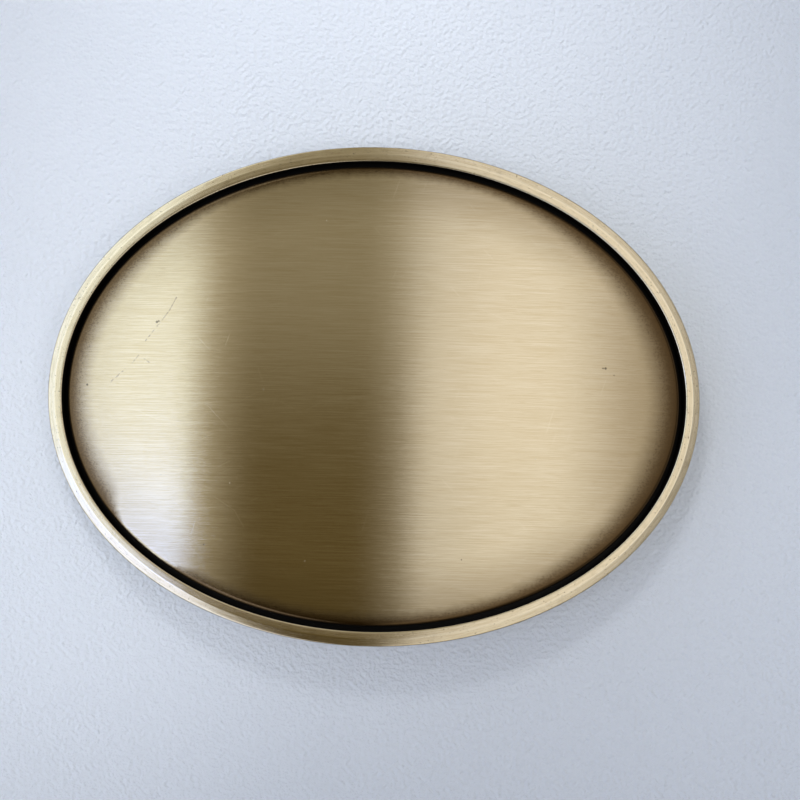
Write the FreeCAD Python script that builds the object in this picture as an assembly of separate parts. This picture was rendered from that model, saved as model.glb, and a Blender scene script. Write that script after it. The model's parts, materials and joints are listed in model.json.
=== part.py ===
import FreeCAD, Part
import math
import os

# Oval plate belt buckle, lying face up. Millimetres.
# +X runs along the belt, +Y is up as worn, +Z points out of the face.
# The origin is on the surface that the buckle lies on, below the middle of the oval.
#
# A bezel with a two-slope ridge holds an arched back plate in a rebate. A pressed, domed face panel stands
# on the plate inside the bezel, with an open groove all round it, and a bead of adhesive holds it from
# inside. On the back, two riveted lugs carry a swinging wire bail for the folded end of the belt, and a
# riveted hook takes the punched end.
#
# The plate, bezel and panel walls are laid out flat and then bent over the bow, a cylinder along Y.
# Heights are measured square to the bow, upwards from the underside of the back plate.

Vector = FreeCAD.Vector

# Oval, seen from above
WIDTH = 90.0
HEIGHT = 68.4

# Back plate: an arched sheet, so that the buckle follows the waist
BOW_RADIUS = 220.0
PLATE_THICKNESS = 1.6

# Bezel: insets are measured inwards from the outline
BEZEL_WIDTH = 2.0
SKIRT_WIDTH = 1.0
RIDGE_INSET = 1.0
RIDGE_HEIGHT = 3.75
OUTER_SHOULDER_HEIGHT = 3.6
INNER_SHOULDER_HEIGHT = 3.74
EDGE_ROUND = 0.22
RIDGE_ROUND = 0.9
SKIRT_ROUND = 0.3

# Face panel: a pressed sheet with a turned-down edge
GROOVE_WIDTH = 0.75
PANEL_SHEET = 0.9
PANEL_EDGE_HEIGHT = 1.95
PANEL_CROWN = 1.0
PANEL_SHOULDER_ROUND = 0.6
PANEL_INNER_ROUND = 0.3
BEAD_SIZE = 0.75
BEAD_GAP = 0.002

# Bail: a loop of round wire for a 38 mm belt
WIRE_RADIUS = 1.75
BAIL_INSIDE_WIDTH = 40.0
BAIL_REACH = 15.5
BAIL_INSIDE_ROUND = 3.0
BUTT_GAP = 0.2

# Lugs
HINGE_X = 14.5
HINGE_DEPTH = 4.9
LUG_Y = 14.0
LUG_THICKNESS = 5.0
EYE_RADIUS = 3.3
RUNNING_CLEARANCE = 0.07
LUG_EDGE_ROUND = 0.45
LUG_FOOT_LENGTH = 15.2
LUG_FOOT_WIDTH = 7.0
LUG_FOOT_FILLET = 0.4

# Hook
HOOK_X = -30.0
HOOK_RADIUS = 2.3
HOOK_LEAN = 18.0
HOOK_TIP_ROUND = 1.3
HOOK_COLLAR_RADIUS = 3.1
HOOK_COLLAR_LENGTH = 2.75
HOOK_COLLAR_ROUND = 0.25
HOOK_COLLAR_FILLET = 0.4
HOOK_ROOT_FILLET = 0.3
HOOK_FOOT_LENGTH = 15.0
HOOK_FOOT_WIDTH = 8.4

# Feet and rivets
FOOT_THICKNESS = 1.3
RIVET_RADIUS = 0.9
RIVET_CLEARANCE = 0.04
RIVET_DOME_RADIUS = 1.6
RIVET_DOME_HEIGHT = 0.85
RIVET_SINK_RADIUS = 1.5
RIVET_SINK_DEPTH = 0.6
RIVET_BELOW_FLUSH = 0.05
LUG_RIVET_OFFSET = 5.6
HOOK_RIVET_OFFSET = 5.35

# Layout
OUTLINE_POINTS = 72
GUIDE_HEIGHT = 12.0
BEYOND = 60.0
ON_PLANE = 1e-6
NEAR = 0.1

# The bezel's outer wall leans out with the bow, so the oval is widest at the wall's top.
WIDEST_HEIGHT = OUTER_SHOULDER_HEIGHT - EDGE_ROUND
FLAT_HALF_WIDTH = BOW_RADIUS * math.asin(WIDTH / 2 / (BOW_RADIUS + WIDEST_HEIGHT))
HALF_HEIGHT = HEIGHT / 2
PANEL_INSET = BEZEL_WIDTH + GROOVE_WIDTH

# The eyes and the tip of the hook stand on z = 0, which sets how high the plate is.
LUG_ANGLE = math.asin(HINGE_X / (BOW_RADIUS - HINGE_DEPTH))
PLATE_Z = BOW_RADIUS - (BOW_RADIUS - HINGE_DEPTH) * math.cos(LUG_ANGLE) + EYE_RADIUS
BOW_CENTRE_Z = PLATE_Z - BOW_RADIUS
HOOK_ANGLE = math.asin(HOOK_X / BOW_RADIUS)
BAIL_DROOP = math.asin((EYE_RADIUS - WIRE_RADIUS) / BAIL_REACH)


# --- the bow and the oval ---


def on_bow(u, v, height):
    """Where the point (u, v) of the flat layout comes to once the buckle is bent."""
    angle = u / BOW_RADIUS
    radius = BOW_RADIUS + height
    return Vector(radius * math.sin(angle), v, BOW_CENTRE_Z + radius * math.cos(angle))


def outline_points(inset):
    """Points (u, v) of the flat oval, moved square inwards by inset."""
    points = []
    for i in range(OUTLINE_POINTS):
        angle = 2 * math.pi * i / OUTLINE_POINTS
        outwards = Vector(HALF_HEIGHT * math.cos(angle), FLAT_HALF_WIDTH * math.sin(angle), 0).normalize()
        u = FLAT_HALF_WIDTH * math.cos(angle) - inset * outwards.x
        v = HALF_HEIGHT * math.sin(angle) - inset * outwards.y
        points.append((u, v))
    return points


def smooth_loop(points):
    curve = Part.BSplineCurve()
    curve.interpolate(Points=points, PeriodicFlag=True)
    return Part.Wire([curve.toShape()])


def bent_outline(inset, height):
    return smooth_loop([on_bow(u, v, height) for u, v in outline_points(inset)])


def oval_prism(inset):
    """The room inside the outline, less inset. Its wall is square to the bow everywhere."""

    def level_loop(z):
        rise = z - BOW_CENTRE_Z
        return smooth_loop([Vector(rise * math.tan(u / BOW_RADIUS), v, z) for u, v in outline_points(inset)])

    return Part.makeLoft([level_loop(PLATE_Z - GUIDE_HEIGHT), level_loop(PLATE_Z + GUIDE_HEIGHT)], True, True)


def below_bow(height=0.0):
    """Everything under the arched surface at that height."""
    base = Vector(0, -BEYOND, BOW_CENTRE_Z)
    return Part.makeCylinder(BOW_RADIUS + height, 2 * BEYOND, base, Vector(0, 1, 0))


def arc_radius_for(half_chord, rise):
    return (half_chord * half_chord + rise * rise) / (2 * rise)


def below_dome(depth=0.0):
    """Everything under the crowned top of the panel, or under the same surface moved inwards by depth."""
    edge = on_bow(FLAT_HALF_WIDTH - PANEL_INSET, 0, PLATE_THICKNESS + PANEL_EDGE_HEIGHT)
    top = PLATE_Z + PLATE_THICKNESS + PANEL_EDGE_HEIGHT + PANEL_CROWN
    along_x = arc_radius_for(edge.x, top - edge.z)
    along_y = arc_radius_for(HALF_HEIGHT - PANEL_INSET, PANEL_CROWN)
    axis_z = top - along_x
    reach = HALF_HEIGHT

    def arc_point(y):
        return Vector(0, y, top - along_y + math.sqrt((along_y - depth) ** 2 - y**2))

    corners = [arc_point(reach), Vector(0, reach, axis_z), Vector(0, -reach, axis_z), arc_point(-reach)]
    edges = [Part.makeLine(a, b) for a, b in zip(corners, corners[1:])]
    edges.append(Part.Arc(corners[-1], arc_point(0), corners[0]).toShape())
    face = Part.Face(Part.Wire(edges))
    # The half turn puts the seam of the turned surface underneath, away from the top.
    face.rotate(Vector(0, 0, axis_z), Vector(0, 1, 0), 180)
    return face.revolve(Vector(0, 0, axis_z), Vector(0, 1, 0), 360)


def swept_ring(section, inset, height):
    """Sweeps a closed section round the oval at that inset and height.

    The section lies in the XZ plane: X points outwards from the path and Z is square to the bow.
    """
    start = FLAT_HALF_WIDTH - inset
    placed = section.copy()
    placed.rotate(Vector(0, 0, 0), Vector(0, 1, 0), math.degrees(start / BOW_RADIUS))
    placed.translate(on_bow(start, 0, height))
    sweep = Part.BRepOffsetAPI.MakePipeShell(bent_outline(inset, height))
    sweep.setAuxiliarySpine(bent_outline(inset, height + GUIDE_HEIGHT), True, 0)
    sweep.add(placed, False, False)
    sweep.build()
    sweep.makeSolid()
    return Part.Solid(sweep.shape())


# --- small shapes that several pieces share ---


def rounded_loop(corners):
    """A closed wire in the XZ plane through (x, z, radius) corners, each rounded by its radius."""
    points = [Vector(x, 0, z) for x, z, _ in corners]
    stretches = []
    for i, (_, _, radius) in enumerate(corners):
        here = points[i]
        if not radius:
            stretches.append((here, None, here))
            continue
        to_last = (points[i - 1] - here).normalize()
        to_next = (points[(i + 1) % len(points)] - here).normalize()
        half = to_last.getAngle(to_next) / 2
        start = here + to_last * (radius / math.tan(half))
        end = here + to_next * (radius / math.tan(half))
        centre = here + (to_last + to_next).normalize() * (radius / math.sin(half))
        middle = centre + (here - centre).normalize() * radius
        stretches.append((start, middle, end))
    edges = []
    last = stretches[-1][2]
    for start, middle, end in stretches:
        edges.append(Part.makeLine(last, start))
        if middle:
            edges.append(Part.Arc(start, middle, end).toShape())
        last = end
    return Part.Wire(edges)


def fillet_where(shape, radius, wanted):
    """Rounds those edges of a shape for which wanted(bounding box) is true."""
    return shape.makeFillet(radius, [e for e in shape.Edges if wanted(e.BoundBox)])


def farthest(*values):
    return max(abs(value) for value in values)


def arched_foot(length, width, turn=0):
    """A slab with round ends that fits against the underside of the plate, turned so far from X."""
    radius = width / 2
    half = length / 2 - radius
    low = PLATE_Z - BEYOND / 2
    block = Part.makeBox(2 * half, width, BEYOND, Vector(-half, -radius, low))
    ends = [Part.makeCylinder(radius, BEYOND, Vector(x, 0, low)) for x in (-half, half)]
    prism = block.fuse(ends).removeSplitter()
    prism.rotate(Vector(0, 0, 0), Vector(0, 0, 1), turn)
    return prism.common(below_bow()).cut(below_bow(-FOOT_THICKNESS))


def onto_plate(shape, angle, y=0.0):
    """Takes a shape made under the middle of the plate round the bow by an angle, and along by y."""
    placed = shape.copy()
    placed.rotate(Vector(0, 0, BOW_CENTRE_Z), Vector(0, 1, 0), math.degrees(angle))
    placed.translate(Vector(0, y, 0))
    return placed


def rivet_places():
    """Each rivet's name, its angle round the bow, and its y."""
    step = LUG_RIVET_OFFSET / BOW_RADIUS
    places = []
    for side, sign in (("upper", 1), ("lower", -1)):
        places.append((side + "_lug_inner_rivet", LUG_ANGLE - step, sign * LUG_Y))
        places.append((side + "_lug_outer_rivet", LUG_ANGLE + step, sign * LUG_Y))
        places.append(("hook_" + side + "_rivet", HOOK_ANGLE, sign * HOOK_RIVET_OFFSET))
    return places


def rivet_body(clearance=0.0):
    """A rivet's shank and its countersunk front, at the middle of the plate."""
    front = PLATE_Z + PLATE_THICKNESS - RIVET_BELOW_FLUSH
    root = PLATE_Z - FOOT_THICKNESS - RIVET_DOME_HEIGHT / 3
    radius = RIVET_RADIUS + clearance
    shank = Part.makeCylinder(radius, front - root, Vector(0, 0, root))
    cone_base = Vector(0, 0, front - RIVET_SINK_DEPTH)
    cone = Part.makeCone(radius, RIVET_SINK_RADIUS + clearance, RIVET_SINK_DEPTH, cone_base)
    return shank.fuse(cone)


def rivet_holes():
    """The drilled and countersunk holes for all the rivets, open at both ends."""
    front = PLATE_Z + PLATE_THICKNESS - RIVET_BELOW_FLUSH
    mouth = Part.makeCylinder(RIVET_SINK_RADIUS + RIVET_CLEARANCE, PLATE_THICKNESS, Vector(0, 0, front))
    drill_depth = PLATE_THICKNESS + 2 * FOOT_THICKNESS
    drill = Part.makeCylinder(RIVET_RADIUS + RIVET_CLEARANCE, drill_depth, Vector(0, 0, front - drill_depth))
    tool = rivet_body(RIVET_CLEARANCE).fuse([mouth, drill])
    return [onto_plate(tool, angle, y) for _, angle, y in rivet_places()]


# --- the pieces ---


def make_back_plate():
    sheet = oval_prism(SKIRT_WIDTH).common(below_bow(PLATE_THICKNESS)).cut(below_bow())
    return sheet.cut(rivet_holes())


def make_rim_bezel():
    section = rounded_loop(
        [
            (0, 0, SKIRT_ROUND),
            (0, OUTER_SHOULDER_HEIGHT, EDGE_ROUND),
            (-RIDGE_INSET, RIDGE_HEIGHT, RIDGE_ROUND),
            (-BEZEL_WIDTH, INNER_SHOULDER_HEIGHT, EDGE_ROUND),
            (-BEZEL_WIDTH, 0, 0),
        ]
    )
    plate_seat = oval_prism(SKIRT_WIDTH).common(below_bow(PLATE_THICKNESS))
    return swept_ring(section, 0.0, 0.0).cut(plate_seat)


def make_face_panel():
    def block(inset, depth, floor, corner_round):
        """The room under the dome, with the edge between its crowned top and its wall rounded."""
        solid = oval_prism(inset).common(below_dome(depth)).cut(below_bow(floor))
        top = max(solid.Faces, key=lambda face: face.CenterOfMass.z)
        return solid.makeFillet(corner_round, top.OuterWire.Edges)

    outside = block(PANEL_INSET, 0.0, PLATE_THICKNESS, PANEL_SHOULDER_ROUND)
    hollow = block(PANEL_INSET + PANEL_SHEET, PANEL_SHEET, PLATE_THICKNESS / 2, PANEL_INNER_ROUND)
    return outside.cut(hollow)


def make_adhesive_bead():
    """A bead in the corner between the panel's wall and the plate, with a hollow face."""
    toe = BEAD_SIZE * (1 - math.sqrt(0.5))
    side_end = Vector(-BEAD_SIZE, 0, BEAD_GAP)
    top_end = Vector(-BEAD_GAP, 0, BEAD_SIZE)
    corner = Vector(-BEAD_GAP, 0, BEAD_GAP)
    face = Part.Arc(top_end, Vector(-toe, 0, toe), side_end).toShape()
    section = Part.Wire([Part.makeLine(side_end, corner), Part.makeLine(corner, top_end), face])
    return swept_ring(section, PANEL_INSET + PANEL_SHEET, PLATE_THICKNESS)


def make_lug():
    """One lug under the middle of the plate: an eye with straight sides up to a riveted foot."""
    eye_z = PLATE_Z - HINGE_DEPTH
    foot_z = PLATE_Z - FOOT_THICKNESS
    stem_height = foot_z + FOOT_THICKNESS / 2 - eye_z
    half = LUG_THICKNESS / 2
    stem = Part.makeBox(2 * EYE_RADIUS, LUG_THICKNESS, stem_height, Vector(-EYE_RADIUS, -half, eye_z))
    eye = Part.makeCylinder(EYE_RADIUS, LUG_THICKNESS, Vector(0, -half, eye_z), Vector(0, 1, 0))

    def round_the_side(box):
        return box.YLength < ON_PLANE and box.ZMin < foot_z

    def meets_the_foot(box):
        under_eye = farthest(box.XMin, box.XMax) < EYE_RADIUS + NEAR
        inside = under_eye and farthest(box.YMin, box.YMax) < half + NEAR
        return inside and abs(box.Center.z - foot_z) < NEAR

    blank = fillet_where(stem.fuse(eye).removeSplitter(), LUG_EDGE_ROUND, round_the_side)
    lug = blank.fuse(arched_foot(LUG_FOOT_LENGTH, LUG_FOOT_WIDTH))
    lug = fillet_where(lug, LUG_FOOT_FILLET, meets_the_foot)
    bore_start = Vector(0, -LUG_THICKNESS, eye_z)
    bore_radius = WIRE_RADIUS + RUNNING_CLEARANCE
    bore = Part.makeCylinder(bore_radius, 2 * LUG_THICKNESS, bore_start, Vector(0, 1, 0))
    return lug.cut(bore)


def make_hook():
    """The hook under the middle of the plate: a leaning peg with a collar, on a riveted foot."""
    from_vertical = math.radians(HOOK_LEAN) + HOOK_ANGLE
    root_z = BOW_CENTRE_Z + BOW_RADIUS * math.cos(HOOK_ANGLE)
    flat = HOOK_RADIUS - HOOK_TIP_ROUND
    straight = (root_z - HOOK_TIP_ROUND - flat * math.sin(from_vertical)) / math.cos(from_vertical)
    length = straight + HOOK_TIP_ROUND
    foot_z = PLATE_Z - FOOT_THICKNESS
    collar_z = PLATE_Z - HOOK_COLLAR_LENGTH

    def round_the_tip(box):
        return box.ZMax < PLATE_Z - length + NEAR

    def round_the_collar(box):
        return abs(box.Center.z - collar_z) < ON_PLANE and box.XLength > 2 * HOOK_COLLAR_RADIUS - NEAR

    def meets_the_collar(box):
        return abs(box.Center.z - collar_z) < ON_PLANE and box.XLength < 2 * HOOK_RADIUS + NEAR

    def meets_the_foot(box):
        inside = farthest(box.XMin, box.XMax, box.YMin, box.YMax) < HOOK_FOOT_WIDTH / 2 - NEAR
        return inside and box.ZMin > foot_z - 2 * NEAR and box.ZMax < foot_z + NEAR

    top = Vector(0, 0, PLATE_Z)
    down = Vector(0, 0, -1)
    collar = Part.makeCylinder(HOOK_COLLAR_RADIUS, HOOK_COLLAR_LENGTH, top, down)
    peg = Part.makeCylinder(HOOK_RADIUS, length, top, down)
    peg = fillet_where(peg, HOOK_TIP_ROUND, round_the_tip)
    peg = fillet_where(peg.fuse(collar), HOOK_COLLAR_ROUND, round_the_collar)
    peg = fillet_where(peg, HOOK_COLLAR_FILLET, meets_the_collar)
    peg.rotate(Vector(0, 0, PLATE_Z), Vector(0, 1, 0), HOOK_LEAN)
    hook = peg.common(below_bow()).fuse(arched_foot(HOOK_FOOT_LENGTH, HOOK_FOOT_WIDTH, 90))
    return fillet_where(hook, HOOK_ROOT_FILLET, meets_the_foot)


def make_bail():
    """The loop, closed but for a butt joint between the lugs, drooping from its hinge to the surface."""
    side = BAIL_INSIDE_WIDTH / 2 + WIRE_RADIUS
    bend = BAIL_INSIDE_ROUND + WIRE_RADIUS
    near = bend
    far = BAIL_REACH - bend

    def quarter_bend(x, y, turn):
        """Start, middle and end of the bend round (x, y), from the angle turn to turn - 90 degrees."""
        points = []
        for step in (0, 45, 90):
            angle = math.radians(turn - step)
            points.append(Vector(x + bend * math.cos(angle), y + bend * math.sin(angle), 0))
        return points

    bends = [
        quarter_bend(near, side - bend, 180),
        quarter_bend(far, side - bend, 90),
        quarter_bend(far, bend - side, 0),
        quarter_bend(near, bend - side, -90),
    ]
    edges = []
    last = Vector(0, BUTT_GAP / 2, 0)
    for start, middle, end in bends:
        edges.append(Part.makeLine(last, start))
        edges.append(Part.Arc(start, middle, end).toShape())
        last = end
    edges.append(Part.makeLine(last, Vector(0, -BUTT_GAP / 2, 0)))
    wire_end = Part.Circle(Vector(0, BUTT_GAP / 2, 0), Vector(0, 1, 0), WIRE_RADIUS).toShape()
    bail = Part.Wire(edges).makePipeShell([Part.Wire([wire_end])], True, True)
    bail.rotate(Vector(0, 0, 0), Vector(0, 1, 0), math.degrees(BAIL_DROOP))
    bail.translate(Vector(HINGE_X, 0, EYE_RADIUS))
    return bail


def make_rivet():
    seat = PLATE_Z - FOOT_THICKNESS
    ball_radius = arc_radius_for(RIVET_DOME_RADIUS, RIVET_DOME_HEIGHT)
    ball = Part.makeSphere(ball_radius, Vector(0, 0, seat + ball_radius - RIVET_DOME_HEIGHT))
    dome = ball.common(below_bow(-FOOT_THICKNESS))
    return rivet_body().fuse(dome).removeSplitter()


def make_pieces():
    holes = rivet_holes()
    lug = make_lug()
    rivet = make_rivet()
    pieces = {
        "back_plate": make_back_plate(),
        "rim_bezel": make_rim_bezel(),
        "face_panel": make_face_panel(),
        "adhesive_bead": make_adhesive_bead(),
        "upper_lug": onto_plate(lug, LUG_ANGLE, LUG_Y).cut(holes),
        "lower_lug": onto_plate(lug, LUG_ANGLE, -LUG_Y).cut(holes),
        "belt_hook": onto_plate(make_hook(), HOOK_ANGLE).cut(holes),
        "swing_bail": make_bail(),
    }
    for name, angle, y in rivet_places():
        pieces[name] = onto_plate(rivet, angle, y)
    return pieces


os.makedirs("parts", exist_ok=True)
for piece_name, piece in make_pieces().items():
    print(f"{piece_name:24} solids {len(piece.Solids)} valid {piece.isValid()} volume {piece.Volume:.2f} mm3")
    piece.Solids[0].exportStep(f"parts/{piece_name}.step")
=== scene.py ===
"""Oval plate belt buckle: how it looks.

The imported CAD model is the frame. Sizes are worked in millimetres and turned into metres as each mesh is
made. +X runs along the belt, +Y is up as worn, +Z points out of the face, and the buckle lies on z = 0.
"""

import json
import math

import bpy
import numpy as np
from mathutils import Matrix, Vector

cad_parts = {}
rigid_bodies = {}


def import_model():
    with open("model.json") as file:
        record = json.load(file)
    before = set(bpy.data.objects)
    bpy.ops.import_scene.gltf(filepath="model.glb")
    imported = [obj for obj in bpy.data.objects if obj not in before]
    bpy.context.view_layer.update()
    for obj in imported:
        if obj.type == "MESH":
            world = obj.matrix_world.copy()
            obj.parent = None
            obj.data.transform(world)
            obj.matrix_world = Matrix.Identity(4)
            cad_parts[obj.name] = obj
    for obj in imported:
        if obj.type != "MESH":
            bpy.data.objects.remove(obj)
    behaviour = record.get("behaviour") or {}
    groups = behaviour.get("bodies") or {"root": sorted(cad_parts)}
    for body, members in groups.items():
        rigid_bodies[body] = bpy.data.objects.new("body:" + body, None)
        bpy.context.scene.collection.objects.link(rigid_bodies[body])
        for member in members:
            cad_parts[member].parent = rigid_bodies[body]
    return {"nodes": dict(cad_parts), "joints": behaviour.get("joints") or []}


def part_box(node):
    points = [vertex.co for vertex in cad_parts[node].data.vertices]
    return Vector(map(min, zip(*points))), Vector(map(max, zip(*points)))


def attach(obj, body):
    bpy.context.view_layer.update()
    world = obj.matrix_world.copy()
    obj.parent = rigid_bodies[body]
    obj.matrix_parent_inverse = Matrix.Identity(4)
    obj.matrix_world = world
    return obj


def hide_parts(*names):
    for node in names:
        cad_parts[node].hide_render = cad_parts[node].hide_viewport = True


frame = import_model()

MM = 0.001

# A bare Blender session starts with these, and they'd count as pieces of the buckle.
for stray in [o for o in bpy.data.objects if o.name in ("Cube", "Light", "Camera")]:
    bpy.data.objects.remove(stray)

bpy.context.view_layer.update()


# --- sizes ---


def box_mm(node):
    low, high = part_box(node)
    return low / MM, high / MM


_, RIM_HIGH = box_mm("rim_bezel")
_, PANEL_HIGH = box_mm("face_panel")
PLATE_LOW, PLATE_HIGH = box_mm("back_plate")
_, BAIL_HIGH = box_mm("swing_bail")
HINGE = Vector(frame["joints"][0]["pos_m"]) / MM

# The bow is a cylinder along Y. Heights are measured square to it, up from the underside of the plate.
BOW_RADIUS = 220.0
PLATE_THICKNESS = 1.6
BOW_CENTRE_Z = PLATE_HIGH.z - PLATE_THICKNESS - BOW_RADIUS

# Rim
BEZEL_WIDTH = 2.0
SKIRT_WIDTH = 1.0
RIDGE_INSET = 1.0
RIDGE_HEIGHT = 3.75
OUTER_SHOULDER_HEIGHT = 3.6
INNER_SHOULDER_HEIGHT = 3.74
EDGE_ROUND = 0.22
RIDGE_ROUND = 0.9
SKIRT_ROUND = 0.3
WIDEST_HEIGHT = OUTER_SHOULDER_HEIGHT - EDGE_ROUND

HALF_HEIGHT = round(RIM_HIGH.y, 1)
HALF_WIDTH = round(RIM_HIGH.x, 1)
FLAT_HALF_WIDTH = BOW_RADIUS * math.asin(HALF_WIDTH / (BOW_RADIUS + WIDEST_HEIGHT))

# Panel
GROOVE_WIDTH = 0.75
PANEL_INSET = BEZEL_WIDTH + GROOVE_WIDTH
PANEL_SHEET = 0.9
PANEL_EDGE_HEIGHT = 1.95
PANEL_CROWN = 1.0
PANEL_SHOULDER_ROUND = 0.6
PANEL_EDGE_LEVEL = PLATE_THICKNESS + PANEL_EDGE_HEIGHT

# Bail
WIRE_RADIUS = 1.75
BAIL_BEND = 4.75
BAIL_REACH = 15.5
BAIL_HALF_WIDTH = BAIL_HIGH.y - WIRE_RADIUS
WIRE_CHAMFER = 0.18
BUTT_GAP = 0.2

# How finely the meshes are cut: counts of steps, and lengths in millimetres
AROUND = 720
ROUND_STEPS = 7
SECTION_STEP = 0.3
PANEL_RING_STEP = 0.25
SHOULDER_RINGS = 15
WIRE_AROUND = 48
WIRE_BEND_STEPS = 16
WIRE_STEP = 0.8

# Millimetres to one unit of the grain UV map, which only gives the brushing its direction
UV_SPAN = 100.0
RIM_UV_SPAN = 20.0


# --- meshes ---


def oval(angle, inset):
    """Points (u, v) of the flat oval, moved square inwards by inset."""
    out_u = HALF_HEIGHT * np.cos(angle)
    out_v = FLAT_HALF_WIDTH * np.sin(angle)
    length = np.hypot(out_u, out_v)
    u = FLAT_HALF_WIDTH * np.cos(angle) - inset * out_u / length
    v = HALF_HEIGHT * np.sin(angle) - inset * out_v / length
    return u, v


def on_bow(u, v, height):
    """Where a point of the flat layout comes to once it is bent over the bow."""
    angle = u / BOW_RADIUS
    radius = BOW_RADIUS + height
    return np.stack([radius * np.sin(angle), v + 0 * radius, BOW_CENTRE_Z + radius * np.cos(angle)], axis=-1)


def arc_radius(half_chord, rise):
    return (half_chord**2 + rise**2) / (2 * rise)


def rounded(corners):
    """Points of a closed outline through (a, b, radius) corners, each rounded by its radius."""
    points = []
    for i, (a, b, radius) in enumerate(corners):
        here = np.array([a, b])
        if not radius:
            points.append(here)
            continue
        to_last = np.array(corners[i - 1][:2]) - here
        to_next = np.array(corners[(i + 1) % len(corners)][:2]) - here
        to_last /= np.linalg.norm(to_last)
        to_next /= np.linalg.norm(to_next)
        half = math.acos(float(np.dot(to_last, to_next))) / 2
        bisector = (to_last + to_next) / np.linalg.norm(to_last + to_next)
        centre = here + bisector * radius / math.sin(half)
        start = here + to_last * radius / math.tan(half) - centre
        turn = math.pi - 2 * half
        clockwise = start[0] * to_next[1] - start[1] * to_next[0] < 0
        for k in range(ROUND_STEPS + 1):
            angle = turn * k / ROUND_STEPS * (-1 if clockwise else 1)
            c, s = math.cos(angle), math.sin(angle)
            points.append(centre + np.array([c * start[0] - s * start[1], s * start[0] + c * start[1]]))
    return np.array(points)


def subdivided(points, longest):
    """The same closed outline with no side longer than that."""
    cut = []
    for here, there in zip(points, np.roll(points, -1, axis=0)):
        count = max(1, math.ceil(np.linalg.norm(there - here) / longest))
        cut += [here + (there - here) * k / count for k in range(count)]
    return np.array(cut)


def make_object(name, points, faces, uvs=None, attributes=None, sharp=32):
    mesh = bpy.data.meshes.new(name)
    mesh.from_pydata((np.asarray(points) * MM).tolist(), [], faces)
    mesh.shade_smooth()
    mesh.set_sharp_from_angle(angle=math.radians(sharp))
    if uvs is not None:
        layer = mesh.uv_layers.new(name="grain")
        layer.data.foreach_set("uv", np.asarray(uvs, dtype=np.float32).ravel())
    for key, values in (attributes or {}).items():
        stored = mesh.attributes.new(key, "FLOAT", "POINT")
        stored.data.foreach_set("value", np.asarray(values, dtype=np.float32).ravel())
    piece = bpy.data.objects.new(name, mesh)
    bpy.context.scene.collection.objects.link(piece)
    return piece


def grid_faces(rows, columns, close_rows, close_columns):
    """Faces of a grid of points numbered row by row, and the (row, column) of each face's corners."""
    faces = []
    corners = []
    for i in range(rows if close_rows else rows - 1):
        for j in range(columns if close_columns else columns - 1):
            corner = [(i, j), (i + 1, j), (i + 1, j + 1), (i, j + 1)]
            corners += corner
            faces.append([(a % rows) * columns + b % columns for a, b in corner])
    return faces, corners


def path_lengths(points):
    """How far along a closed outline each of its points is, and its whole length at the end."""
    steps = np.linalg.norm(np.roll(points, -1, axis=0) - points, axis=1)
    return np.concatenate([[0], np.cumsum(steps)])


def make_rim():
    section = subdivided(
        rounded(
            [
                (0, 0, SKIRT_ROUND),
                (0, OUTER_SHOULDER_HEIGHT, EDGE_ROUND),
                (RIDGE_INSET, RIDGE_HEIGHT, RIDGE_ROUND),
                (BEZEL_WIDTH, INNER_SHOULDER_HEIGHT, EDGE_ROUND),
                (BEZEL_WIDTH, PLATE_THICKNESS, 0),
                (SKIRT_WIDTH, PLATE_THICKNESS, 0),
                (SKIRT_WIDTH, 0, 0),
            ]
        ),
        SECTION_STEP,
    )
    angle = np.linspace(0, 2 * np.pi, AROUND, endpoint=False)[:, None]
    u, v = oval(angle, section[None, :, 0])
    points = on_bow(u, v, section[None, :, 1] + 0 * u)
    faces, corners = grid_faces(AROUND, len(section), True, True)
    across = path_lengths(section)
    uvs = [(across[j] / RIM_UV_SPAN, i / AROUND) for i, j in corners]
    attributes = {
        "inset": np.broadcast_to(section[None, :, 0], u.shape),
        "height": np.broadcast_to(section[None, :, 1], u.shape),
    }
    return make_object("ridged_rim", points.reshape(-1, 3), faces, uvs, attributes)


DOME_EDGE = on_bow(np.array(FLAT_HALF_WIDTH - PANEL_INSET), 0.0, np.array(PANEL_EDGE_LEVEL))
DOME_TOP = PANEL_HIGH.z
DOME_ALONG_X = arc_radius(DOME_EDGE[0], DOME_TOP - DOME_EDGE[2])
DOME_ALONG_Y = arc_radius(HALF_HEIGHT - PANEL_INSET, PANEL_CROWN)


def dome_z(x, y, depth=0.0):
    """The crowned top of the panel, or the same surface moved inwards by depth."""
    across = DOME_ALONG_X - DOME_ALONG_Y + np.sqrt((DOME_ALONG_Y - depth) ** 2 - y**2)
    return DOME_TOP - DOME_ALONG_X + np.sqrt(across**2 - x**2)


def dome_height(u, v, depth=0.0):
    """The same surface as a height above the underside of the plate, found by repeated correction."""
    height = np.full_like(u, PANEL_EDGE_LEVEL)
    for _ in range(6):
        place = on_bow(u, v, height)
        height = height + dome_z(place[..., 0], place[..., 1], depth) - place[..., 2]
    return height


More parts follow.
